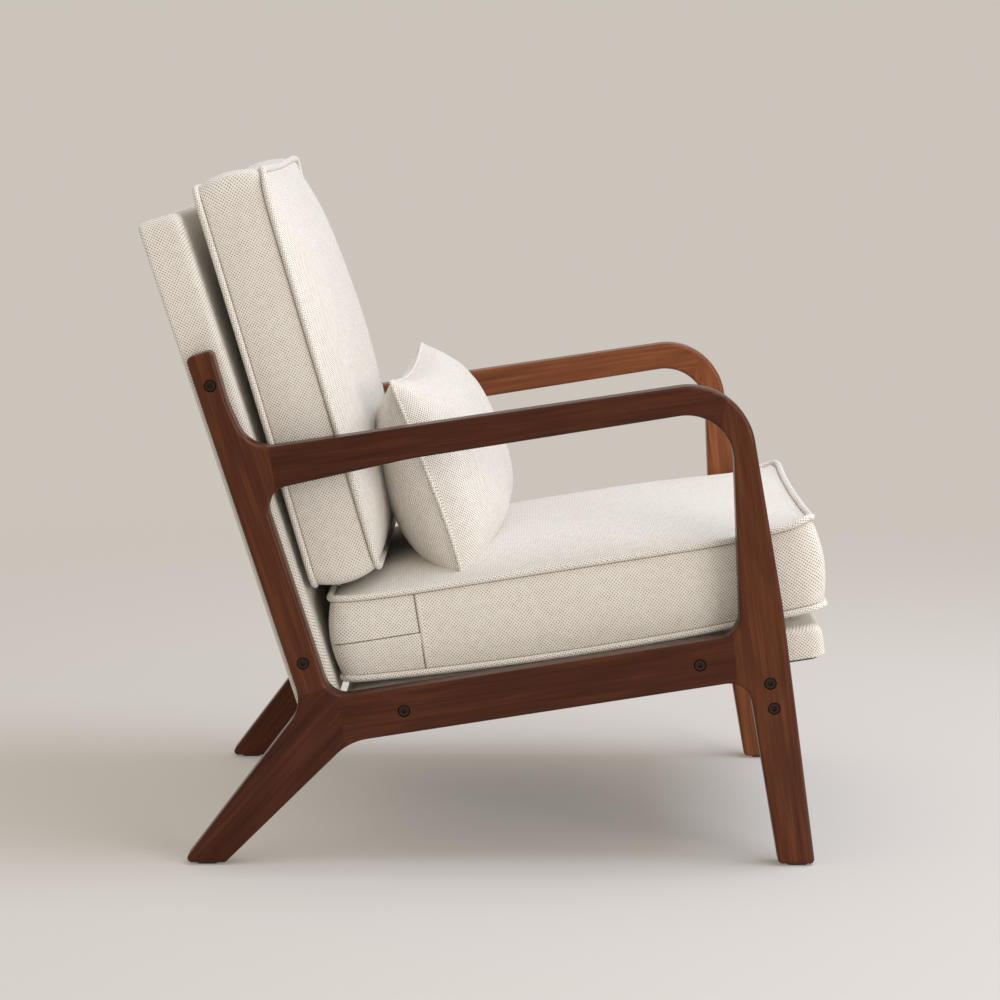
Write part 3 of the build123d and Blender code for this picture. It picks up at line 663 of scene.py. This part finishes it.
def weltedSeam(name, cover, rim, piece, form):
    # the welt, and the thread line sunk beside it, whose dark colour is painted shade of the
    # crease. form is how far the welt stands out and up
    #  from the seam, and how far out and up from the welt the thread lies
    out, up, aside, above = form
    weltPath = seamPath(cover, rim, piece, out, up)
    threadPath = seamPath(cover, rim, piece, out + aside, up + above)
    return [
        cordAlong(
            f"{name}Welt", weltPath, piece["weltRadius"], coverCloth, coverMaking["weltSides"]
        ),
        cordAlong(
            f"{name}ShadedThread0", threadPath, threadForm["weltRadius"], seamShadeThread, threadForm["sides"]
        ),
    ]


def settle(things, matrix, body, stands):
    # moves pieces from their own axes to the chair, ties each to the body, and hides the model's
    # nodes that it stands for
    for thing in things:
        thing.data.transform(matrix)
        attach(thing, body)
        if stands.get(thing.name):
            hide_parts(*stands[thing.name])


# boxed and welted, its front corners standing a little proud
seatCushion = {
    "origin": (0, 102.9, 227.17),
    "slope": seatSlope,
    "halfWidth": 290.0,
    "low": -71.5,
    "high": 529.0,
    "corner": 22.0,
    "draws": (0.0, 5.0, -5.0),
    "thickness": 103.0,
    "crowns": (31.0, 0.0),
    "crownPower": 2.5,
    "crownEase": 0.62,
    "bulges": (2.5, 9.0),
    "cell": 9.0,
    "fill": {
        "seamHold": 0.94,
        "stretch": 18.0,
        "shear": 6.0,
        "bend": 0.6,
        "pressure": 3.5,
        "frames": 18,
        "cap": 6.0,
    },
    "weltRadius": 4.3,
    "unevenness": 1.6,
    # the seams out of their planes: rises in mm, and where they start as shares of the half length
    "frontFrom": 0.45,
    "frontRise": 9.0,
    "rearFrom": 0.7,
    "rearRise": 2.5,
    "topSink": 0.5,
    "frontEar": 6.0,
    "rearEar": 2.0,
    "bottomEndRise": 11.0,
    "bottomSink": 4.0,
    "topFade": 3,  # powers: how fast a seam's rise fades away from the outline
    "bottomFade": 8,
    # the welt's place out and up from the seam, then the thread's from the welt
    "topSeam": (1.6, 1.0, -0.6, -4.3),
    "bottomSeam": (1.6, -0.4, -0.8, 4.2),
}
# the lapped cloth that hides the zip's ends, at the rear of both sides, in mm
zipPlacket = {
    "reach": 104.0,
    "split": 50.0,
    "foldWidth": 8.5,
    "bottom": 4.0,
    "top": 100.0,
    "lineBottom": 3.0,
    "lineGap": 0.8,
    "lineRise": 0.1,
    "rearLap": 3.0,
    "rearGap": 1.0,
    # rises over the boxing at the rear and front ends, and at the lower and upper ends
    "lowerRises": (0.0, 0.0, 0.1, 0.9),
    "foldRises": (0.8, -0.5, 0.25, 0.25),
    "riseRun": 40.0,
    "tuck": -1.5,
    "cell": 4.0,
    "rayStart": 400.0,  # well outside the cushion's side
}


def seatSeam(u, v, isTop):
    piece = seatCushion
    level = max(abs(u), abs(v))
    if not isTop:
        bend = piece["bottomEndRise"] * v * v - piece["bottomSink"]
        return level ** piece["bottomFade"] * bend
    front = max(0.0, v - piece["frontFrom"]) / (1 - piece["frontFrom"])
    rear = max(0.0, -v - piece["rearFrom"]) / (1 - piece["rearFrom"])
    lift = level ** piece["topFade"] * (piece["frontRise"] * front ** 2 - piece["topSink"])
    corner = piece["frontEar"] if v > 0 else piece["rearEar"]
    return lift + piece["rearRise"] * rear + corner * ear(u, v)


def boxingSide(tree, side, y, z):
    # where the cushion's side is at this y and z, found by a ray from outside it
    start = Vector((side * zipPlacket["rayStart"], y, z)) * mm
    hit = tree.ray_cast(start, Vector((-side, 0, 0)))[0]
    return hit.x if hit else side * seatCushion["halfWidth"] * mm


def lappedFlap(name, tree, side, yRange, zRange, rises):
    # a folded edge of cloth lying on the boxing
    mesh = bmesh.new()
    grain = mesh.loops.layers.uv.new("clothGrain")
    rear, low = yRange[0], zRange[0]
    long, tall = yRange[1] - rear, zRange[1] - low
    countY, countZ = [max(3, round(size / zipPlacket["cell"])) for size in (long, tall)]
    grid = []
    for i in range(countY + 1):
        column = []
        for j in range(countZ + 1):
            a, b = i / countY, j / countZ
            y, z = rear + long * a, low + tall * b
            rise = rises[0] * (1 - a) + rises[1] * a + rises[2] * (1 - b) + rises[3] * b
            rise *= min(1.0, (y - seatCushion["low"]) / zipPlacket["riseRun"])
            x = boxingSide(tree, side, y, z)
            column.append([
                mesh.verts.new((x + side * up * mm, y * mm, z * mm))
                for up in (rise, zipPlacket["tuck"])
            ])
        grid.append(column)
    for i in range(countY):
        for j in range(countZ):
            corners = [grid[i][j], grid[i + 1][j], grid[i + 1][j + 1], grid[i][j + 1]]
            for layer in (0, 1):
                mesh.faces.new([corner[layer] for corner in corners])
    border = [grid[i][0] for i in range(countY)] + [grid[countY][j] for j in range(countZ)]
    border += [grid[i][countZ] for i in range(countY, 0, -1)]
    border += [grid[0][j] for j in range(countZ, 0, -1)]
    for index, here in enumerate(border):
        there = border[(index + 1) % len(border)]
        mesh.faces.new([here[0], there[0], there[1], here[1]])
    for face in mesh.faces:
        for loop in face.loops:
            at = loop.vert.co
            loop[grain].uv = slanted(at.y, at.z, coverMaking["flapSlant"])
    return clothObject(name, mesh, coverCloth)


def threadOn(name, tree, side, start, end):
    # a thread line on the boxing between two (y, z) places, dark with painted shade where the
    # flap's edge lies
    points = []
    for step in range(threadForm["linePoints"] + 1):
        share = step / threadForm["linePoints"]
        y, z = [first + (last - first) * share for first, last in zip(start, end)]
        x = boxingSide(tree, side, y, z) + side * zipPlacket["lineRise"] * mm
        points.append(Vector((x, y * mm, z * mm)))
    return cordAlong(
        name, points, threadForm["lineRadius"], seamShadeThread, threadForm["sides"], closed=False
    )


seatCover, seatTop, seatBottom = softShell("seatCushionCover", seatCushion, seatSeam)
fillCover(seatCover, (seatTop, seatBottom), seatCushion["fill"])
seatPieces = weltedSeam(
    "seatCushionTop", seatCover, seatTop, seatCushion, seatCushion["topSeam"]
) + weltedSeam(
    "seatCushionBottom", seatCover, seatBottom, seatCushion, seatCushion["bottomSeam"]
)
smoothed(seatCover)
seatTree = BVHTree.FromPolygons(
    [vertex.co for vertex in seatCover.data.vertices],
    [face.vertices for face in seatCover.data.polygons],
)
rearEnd = seatCushion["low"]
foldAt = rearEnd + zipPlacket["reach"]
split, gap = zipPlacket["split"], zipPlacket["lineGap"]
bottom, top = zipPlacket["bottom"], zipPlacket["top"]
for side, sideName in ((1, "Right"), (-1, "Left")):
    seatPieces += [
        lappedFlap(
            f"zipPlacketLower{sideName}", seatTree, side,
            (rearEnd + zipPlacket["rearGap"], foldAt), (bottom, split), zipPlacket["lowerRises"],
        ),
        lappedFlap(
            f"zipPlacketFold{sideName}", seatTree, side,
            (foldAt, foldAt + zipPlacket["foldWidth"]), (bottom, top), zipPlacket["foldRises"],
        ),
        threadOn(
            f"zipPlacketLine{sideName}", seatTree, side,
            (rearEnd - zipPlacket["rearLap"], split + gap), (foldAt, split + gap),
        ),
        threadOn(
            f"zipPlacketEnd{sideName}", seatTree, side,
            (foldAt - gap, zipPlacket["lineBottom"]), (foldAt - gap, top),
        ),
    ]
settle(
    [seatCover] + seatPieces, placed(seatCushion), "seat_cushion",
    {
        "seatCushionCover": ["seat_cushion_cover", "seat_cushion_core"],
        "seatCushionTopWelt": ["seat_cushion_top_welt"],
        "seatCushionBottomWelt": ["seat_cushion_bottom_welt"],
    },
)
print("seat cushion made")


# taller than it is deep, crowned in front, standing on its bulging lower boxing
backCushion = {
    "origin": (0, 207.77, 336.61),
    "lean": 16.2,
    "halfWidth": 290.0,
    "low": 2.0,
    "high": 509.0,
    "corner": 22.0,
    "draws": (0.0, 5.0, 5.0),
    "thickness": 80.0,
    "crowns": (43.0, 9.0),
    "crownPower": 2.5,
    "crownEase": 0.62,
    "bulges": (2.5, 9.0),
    "cell": 9.0,
    "fill": {
        "seamHold": 0.94,
        "stretch": 16.0,
        "shear": 5.0,
        "bend": 0.5,
        "pressure": 3.0,
        "frames": 18,
        "cap": 6.0,
    },
    "weltRadius": 4.1,
    "unevenness": 1.8,
    "upperEar": 5.0,
    "frontSeam": (1.5, 1.0, -0.6, -4.2),
    "rearSeam": (1.5, -0.8, -0.6, 4.2),
}


def backSeam(u, v, isTop):
    # the upper corners of the front panel stand forward
    return backCushion["upperEar"] * ear(u, v) if isTop and v > 0 else 0.0


backCover, backFront, backRear = softShell("backCushionCover", backCushion, backSeam)
fillCover(backCover, (backFront, backRear), backCushion["fill"])
backPieces = weltedSeam(
    "backCushionFront", backCover, backFront, backCushion, backCushion["frontSeam"]
) + weltedSeam(
    "backCushionRear", backCover, backRear, backCushion, backCushion["rearSeam"]
)
smoothed(backCover)
settle(
    [backCover] + backPieces, placed(backCushion), "back_cushion",
    {
        "backCushionCover": ["back_cushion_cover", "back_cushion_core"],
        "backCushionFrontWelt": ["back_cushion_front_welt"],
        "backCushionRearWelt": ["back_cushion_rear_welt"],
    },
)
print("back cushion made")


# two panels sewn edge to edge, drawn in between blunt corners
lumbarPillow = {
    "origin": (0, 73.85, 484.8),
    "lean": 21.2,
    "turn": 2.8,  # degrees about its own height, the far end forward
    "sunk": (-9.0, -16.5, -14.5),  # mm, pressed into the seat cushion
    "halfWidth": 248.0,
    "low": -138.0,
    "high": 132.0,
    "corner": 12.0,
    "draws": (20.0, 12.0, 18.0),
    "thickness": 4.0,
    "crowns": (73.0, 77.0),
    "sags": (0.0, 0.23),
    "crownPower": 2.7,
    "crownEase": 0.54,
    "bulges": (0.0, 0.0),
    "cell": 7.0,
    "fill": {
        "seamHold": 0.85,
        "stretch": 9.0,
        "shear": 3.0,
        "bend": 0.35,
        "pressure": 4.0,
        "frames": 20,
        "cap": 9.0,
    },
    "weltRadius": 2.5,
    "unevenness": 2.5,
    "seamBack": 2.0,
    "cornerBow": 7.0,
    "bowPower": 3,
    "edgeSeam": (0.8, -2.0, -1.4, -2.2),
}


def pillowSeam(u, v, isTop):
    # the one seam bows back near its lower corners, where the pillow stands on the seat
    corner = (max(0.0, -v) * abs(u)) ** lumbarPillow["bowPower"]
    return -lumbarPillow["seamBack"] - lumbarPillow["cornerBow"] * corner


pillowCover, pillowFront, pillowRear = softShell("lumbarPillowCover", lumbarPillow, pillowSeam)
fillCover(pillowCover, (pillowFront, pillowRear), lumbarPillow["fill"])
pillowPieces = weltedSeam(
    "lumbarPillowEdge", pillowCover, pillowFront, lumbarPillow, lumbarPillow["edgeSeam"]
)
smoothed(pillowCover)
pillowTurn = Matrix.Rotation(math.radians(-lumbarPillow["turn"]), 4, "Y")
pillowMatrix = Matrix.Translation(Vector(lumbarPillow["sunk"]) * mm) @ (
    placed(lumbarPillow) @ pillowTurn
)
settle(
    [pillowCover] + pillowPieces, pillowMatrix, "lumbar_pillow",
    {
        "lumbarPillowCover": ["lumbar_pillow_cover", "lumbar_pillow_fill"],
        "lumbarPillowEdgeWelt": ["lumbar_pillow_edge_cord"],
    },
)
print("lumbar pillow made")


# tight upholstery over wooden frames, with rolled edges
backPanel = {
    "origin": (0, 204.8, 203.09),
    "lean": panelLean,
    "halfWidth": 296.6,
    "low": -13.0,
    "high": 616.6,
    "corner": 11.0,
    "draws": (0.0, 0.0, 1.0),
    "thickness": 53.6,
    "rear": -27.8,
    "rolls": (4.5, 11.0),
    "crowns": (1.0, 1.0),
    "crownPower": 4.0,
    "crownEase": 0.7,
    "bulges": (0.0, 0.8),
    "cell": 10.0,
    "unevenness": 0.8,
}
seatDeck = {
    "origin": (0, 97.48, 192.9),
    "slope": seatSlope,
    "halfWidth": 296.6,
    "low": -76.0,
    "high": 520.0,
    "corner": 11.0,
    "draws": (0.0, 0.0, 0.5),
    "thickness": 41.2,
    "rear": -19.6,
    "rolls": (2.0, 12.5),
    "crowns": (11.5, 0.0),
    "crownPower": 5.0,
    "crownEase": 0.7,
    "bulges": (0.0, 0.8),
    "cell": 10.0,
    "unevenness": 0.6,
}
closingSeam = {"out": 1.2, "up": 2.6}  # mm from the rear edge


def flatSeam(u, v, isTop):
    return 0.0


for piece, name, stands in (
    (backPanel, "backPanelCover", ["back_panel_cover", "back_panel_pad"]),
    (seatDeck, "seatDeckCover", ["seat_deck_cover", "seat_deck_pad"]),
):
    cover, _, rearRim = softShell(name, piece, flatSeam)
    # the closing seam's line is thread, dark with painted seam shade
    closing = cordAlong(
        f"{name}ClosingSeam",
        seamPath(cover, rearRim, piece, closingSeam["out"], closingSeam["up"]),
        threadForm["lineRadius"], seamShadeThread, threadForm["sides"],
    )
    smoothed(cover)
    matrix = placed(piece) @ Matrix.Translation((0, 0, piece["rear"] * mm))
    settle([cover, closing], matrix, "frame", {name: stands})
print("back panel and seat deck made")


# degrees that each member of a side frame rises along its grain
grainWays = {
    "armrest": 8.4,
    "front_post": 98.3,
    "side_rail": seatSlope,
    "rear_leg": 48.7,
    "rear_upright": 90 + panelLean,
}
# metres between the boards' places in the grain, from a member to the next one, from side to side,
# and for the stretcher, which lies across
boardShift, sideShift, stretcherShift = 0.31, 0.57, 2.1
for number, (member, way) in enumerate(grainWays.items()):
    for side, shift in (("right", 0.0), ("left", sideShift)):
        name = f"{member}_{side}"
        dress(name, walnutStain(name, (way, 0, 0), boardShift * number + shift))
dress("front_stretcher", walnutStain("front_stretcher", (0, 0, 90), stretcherShift))

# colour, roughness, metallic value and grain in mm, then the nodes that wear the finish
plainFinishes = {
    # black oxide on alloy steel: nearly black, a soft oily shine
    "blackOxideSteel": (
        ("#3A302B", 0.38, 0.9, 0.8),
        ["back_panel_bolts", "seat_deck_bolts", "stretcher_bolts"],
    ),
    # zinc plate: pale grey metal, slightly cloudy
    "zincPlatedSteel": (
        ("#B9B8B4", 0.35, 1.0, 2.0),
        ["back_panel_inserts", "seat_deck_inserts", "stretcher_barrel_nuts", "seat_deck_springs",
         "seat_spring_clips"],
    ),
    # black zinc plate: dull, nearly as dark as the bolts
    "blackZincPlatedSteel": (("#1E1917", 0.6, 0.7, 1.2), ["bolt_washers"]),
    # nickel on the zip sliders: warm grey, fairly bright
    "nickelPlatedZinc": (("#B4ADA2", 0.28, 1.0, 1.0), ["seat_zip_slider", "back_zip_slider"]),
    # moulded nylon coil: off-white, dull
    "mouldedNylonCoil": (("#D9D1C3", 0.55, 0.0, 1.2), ["seat_cushion_zip", "back_cushion_zip"]),
    # polythene glide: near black, dull
    "mouldedPolythene": (("#1D1A18", 0.5, 0.0, 1.5), ["foot_glides_right", "foot_glides_left"]),
    # spun-bonded polypropylene: flat black
    "spunBondedBlackCloth": (("#141313", 0.95, 0.0, 1.0), ["seat_dust_cover"]),
    # woven elastic: black with a dull rubbery face
    "wovenElastic": (("#24211F", 0.85, 0.0, 2.5), ["back_panel_webbing"]),
    # fibreboard: brown, matt
    "fibreboard": (("#8A6E4C", 0.85, 0.0, 3.0), ["back_panel_backing"]),
    # planed pine: pale yellow brown, dry
    "planedPine": (
        ("#C9A577", 0.75, 0.0, 4.0),
        ["seat_deck_side_rail_right", "seat_deck_side_rail_left", "seat_deck_front_rail",
         "seat_deck_rear_rail", "seat_deck_corner_blocks", "back_panel_stile_left",
         "back_panel_stile_right", "back_panel_top_rail", "back_panel_bottom_rail"],
    ),
    # fluted beech dowels: pale, dry
    "beechDowel": (("#D0B083", 0.7, 0.0, 3.0), ["frame_dowels_right", "frame_dowels_left"]),
}
for name, (look, wearers) in plainFinishes.items():
    finish = plainFinish(name, look)
    for wearer in wearers:
        dress(wearer, finish)
print("finishes set")


studio = {
    "backdrop": "#CBC4BC",
    "floor": "#DAD6D2",
    "floorSize": 30.0,
    # metres from the chair over which the floor fades into the backdrop
    "fadeFrom": 1.1,
    "fadeTo": 3.4,
    "floorGlow": 0.28,
    "worldLight": 0.75,
    "worldTint": "#F4EDE1",
}
backdropColour = linear(studio["backdrop"])
scene = bpy.context.scene
floorMaterial, tree = newMaterial("paleStudioFloor")
place = addNode(tree, "ShaderNodeTexCoord").outputs["Object"]
distance = addNode(
    tree, "ShaderNodeVectorMath", {0: place}, {"operation": "LENGTH"}
).outputs["Value"]
fade = addNode(
    tree, "ShaderNodeMapRange",
    {"Value": distance, "From Min": studio["fadeFrom"], "From Max": studio["fadeTo"],
     "To Min": studio["floorGlow"]},
    {"interpolation_type": "SMOOTHSTEP"},
).outputs[0]
seen = seenAlong(tree, ("Is Camera Ray", "Is Glossy Ray", "Is Transmission Ray"))
both = addNode(tree, "ShaderNodeMath", {0: fade, 1: seen}, {"operation": "MULTIPLY"}).outputs[0]
matt = addNode(tree, "ShaderNodeBsdfDiffuse", {"Color": linear(studio["floor"])}).outputs[0]
glow = addNode(tree, "ShaderNodeEmission", {"Color": backdropColour, "Strength": 1.0}).outputs[0]
mixed = addNode(tree, "ShaderNodeMixShader", {0: both, 1: matt, 2: glow}).outputs[0]
addNode(tree, "ShaderNodeOutputMaterial", {"Surface": mixed})
bpy.ops.mesh.primitive_plane_add(size=studio["floorSize"], location=(0, 0, 0))
floor = bpy.context.object
floor.name = "studioFloor"
floor.data.materials.append(floorMaterial)

world = bpy.data.worlds.new("softStudio")
scene.world = world
world.use_nodes = True
tree = world.node_tree
tree.nodes.clear()
seen = seenAlong(tree, ("Is Camera Ray", "Is Glossy Ray", "Is Transmission Ray"))
light = addNode(
    tree, "ShaderNodeBackground",
    {"Color": linear(studio["worldTint"]), "Strength": studio["worldLight"]},
).outputs[0]
shown = addNode(
    tree, "ShaderNodeBackground", {"Color": backdropColour, "Strength": 1.0}
).outputs[0]
sky = addNode(tree, "ShaderNodeMixShader", {0: seen, 1: light, 2: shown}).outputs[0]
addNode(tree, "ShaderNodeOutputWorld", {"Surface": sky})

lamps = {
    # a broad soft light over the chair's front
    "overFront": {
        "at": (-0.3, -1.5, 3.1),
        "aim": (0.0, -0.1, 0.4),
        "size": 2.0,
        "power": 66.0,
        "tint": "#E2EBFF",
    },
    # a broad low one beside the camera
    "besideCamera": {
        "at": (-3.0, -2.4, 1.3),
        "aim": (0.0, 0.0, 0.3),
        "size": 1.6,
        "power": 44.0,
        "tint": "#FFFBF5",
    },
}
for name, lamp in lamps.items():
    made = bpy.data.lights.new(name, "AREA")
    made.shape = "SQUARE"
    made.size = lamp["size"]
    made.energy = lamp["power"]
    made.color = linear(lamp["tint"])[:3]
    holder = bpy.data.objects.new(name, made)
    scene.collection.objects.link(holder)
    holder.location = lamp["at"]
    aim = Vector(lamp["aim"]) - Vector(lamp["at"])
    holder.rotation_euler = aim.to_track_quat("-Z", "Y").to_euler()

photoView = {
    "at": (-4.1752, -0.0551, 0.9571),
    "pitch": 7.487,  # degrees down
    "yaw": 0.531,
    "focal": 115.46,
    "sensor": 36.0,
}
pitch, yaw = math.radians(photoView["pitch"]), math.radians(photoView["yaw"])
ahead = Vector((math.cos(yaw) * math.cos(pitch), math.sin(yaw) * math.cos(pitch), -math.sin(pitch)))
lens = bpy.data.cameras.new("photoView")
lens.sensor_width = photoView["sensor"]
lens.lens = photoView["focal"]
camera = bpy.data.objects.new("photoView", lens)
scene.collection.objects.link(camera)
camera.location = photoView["at"]
camera.rotation_euler = ahead.to_track_quat("-Z", "Y").to_euler()
scene.camera = camera
scene.view_settings.view_transform = "Standard"
print("studio made")
